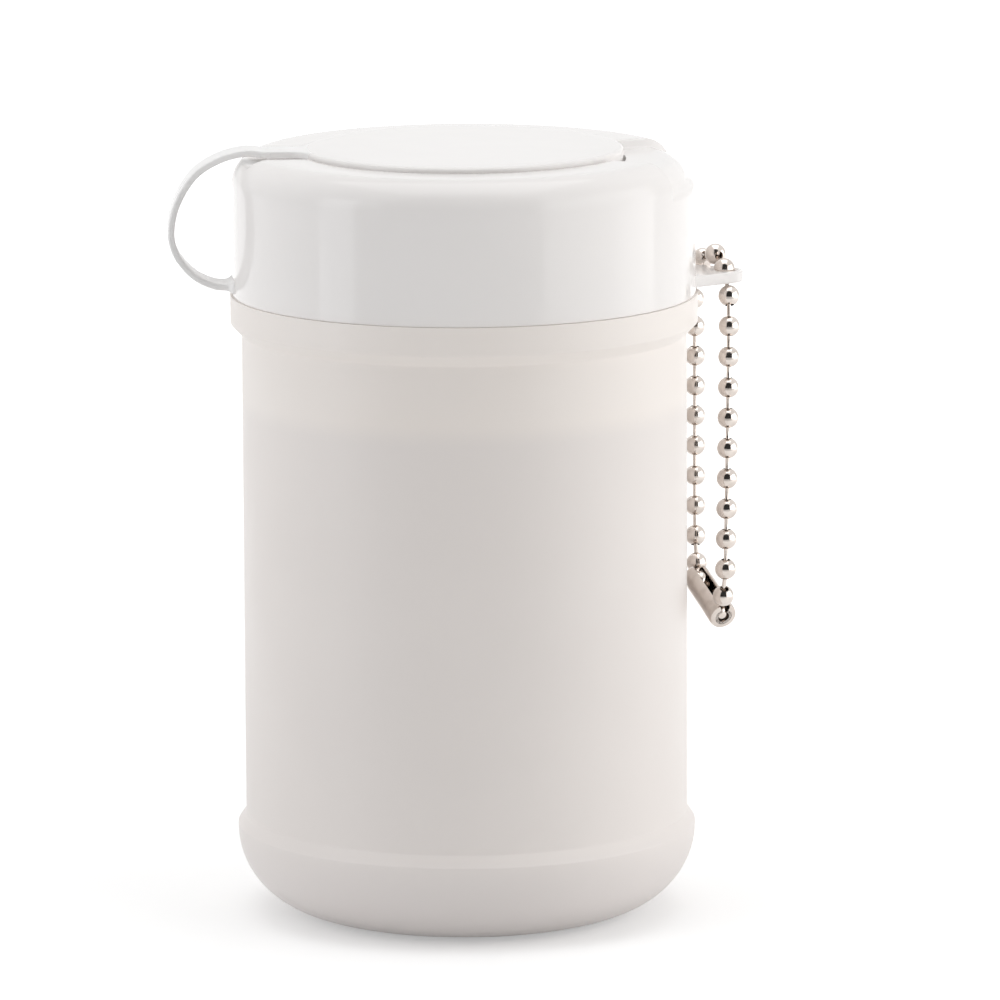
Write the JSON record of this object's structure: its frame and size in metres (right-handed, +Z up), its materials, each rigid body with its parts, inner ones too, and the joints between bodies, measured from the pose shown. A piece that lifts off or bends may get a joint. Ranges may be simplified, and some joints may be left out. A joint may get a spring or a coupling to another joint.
{
  "type": "wipes canister",
  "caption": "Pocket wet-wipes canister: milky round body, press-on cap with a strapped flip lid, roll of wipes inside, and a ball chain hung from an ear on the cap.",
  "frame": {"origin": "centre of the flat base", "axes": "+Z up along the canister; +X towards the ear that holds the chain, -X towards the lid's strap; the lid's hinge runs along Y"},
  "size_m": [0.0647, 0.0524, 0.0869],
  "materials": {
    "body_plastic": "milky translucent blown plastic, satin",
    "cap_plastic": "milky white moulded plastic, glossy",
    "wipes": "damp non-woven cloth",
    "chain_metal": "nickel plated, polished"
  },
  "bodies": {
    "canister": {"canister_body": "body_plastic", "wipes_roll": "wipes"},
    "cap": {"cap_shell": "cap_plastic"},
    "lid": {"lid_disc": "cap_plastic"},
    "chain": {"chain_ball_01": "chain_metal", "chain_ball_02": "chain_metal", "chain_ball_03": "chain_metal", "chain_ball_04": "chain_metal", "chain_ball_05": "chain_metal", "chain_ball_06": "chain_metal", "chain_ball_07": "chain_metal", "chain_ball_08": "chain_metal", "chain_ball_09": "chain_metal", "chain_ball_10": "chain_metal", "chain_ball_11": "chain_metal", "chain_ball_12": "chain_metal", "chain_ball_13": "chain_metal", "chain_ball_14": "chain_metal", "chain_ball_15": "chain_metal", "chain_ball_16": "chain_metal", "chain_ball_17": "chain_metal", "chain_ball_18": "chain_metal", "chain_ball_19": "chain_metal", "chain_ball_20": "chain_metal", "chain_ball_21": "chain_metal", "chain_ball_22": "chain_metal", "chain_ball_23": "chain_metal", "chain_ball_24": "chain_metal", "chain_ball_25": "chain_metal", "chain_ball_26": "chain_metal", "chain_ball_27": "chain_metal", "chain_link_01": "chain_metal", "chain_link_02": "chain_metal", "chain_link_03": "chain_metal", "chain_link_04": "chain_metal", "chain_link_05": "chain_metal", "chain_link_06": "chain_metal", "chain_link_07": "chain_metal", "chain_link_08": "chain_metal", "chain_link_09": "chain_metal", "chain_link_10": "chain_metal", "chain_link_11": "chain_metal", "chain_link_12": "chain_metal", "chain_link_13": "chain_metal", "chain_link_14": "chain_metal", "chain_link_15": "chain_metal", "chain_link_16": "chain_metal", "chain_link_17": "chain_metal", "chain_link_18": "chain_metal", "chain_link_19": "chain_metal", "chain_link_20": "chain_metal", "chain_link_21": "chain_metal", "chain_link_22": "chain_metal", "chain_link_23": "chain_metal", "chain_link_24": "chain_metal", "chain_link_25": "chain_metal", "chain_link_26": "chain_metal", "chain_connector": "chain_metal"}
  },
  "joints": [
    {"name": "cap_lift", "type": "slide", "parent": "canister", "child": "cap", "axis": [0, 0, 1], "range_m": [0, 0.02]},
    {"name": "lid_hinge", "type": "hinge", "parent": "cap", "child": "lid", "pos_m": [-0.0223, 0, 0.0867], "axis": [0, -1, 0], "range_deg": [0, 150]},
    {"name": "chain_swing", "type": "hinge", "parent": "cap", "child": "chain", "pos_m": [0.02933, 0, 0.0724], "axis": [0.3664, -0.9305, 0], "range_deg": [-1, 20]}
  ]
}
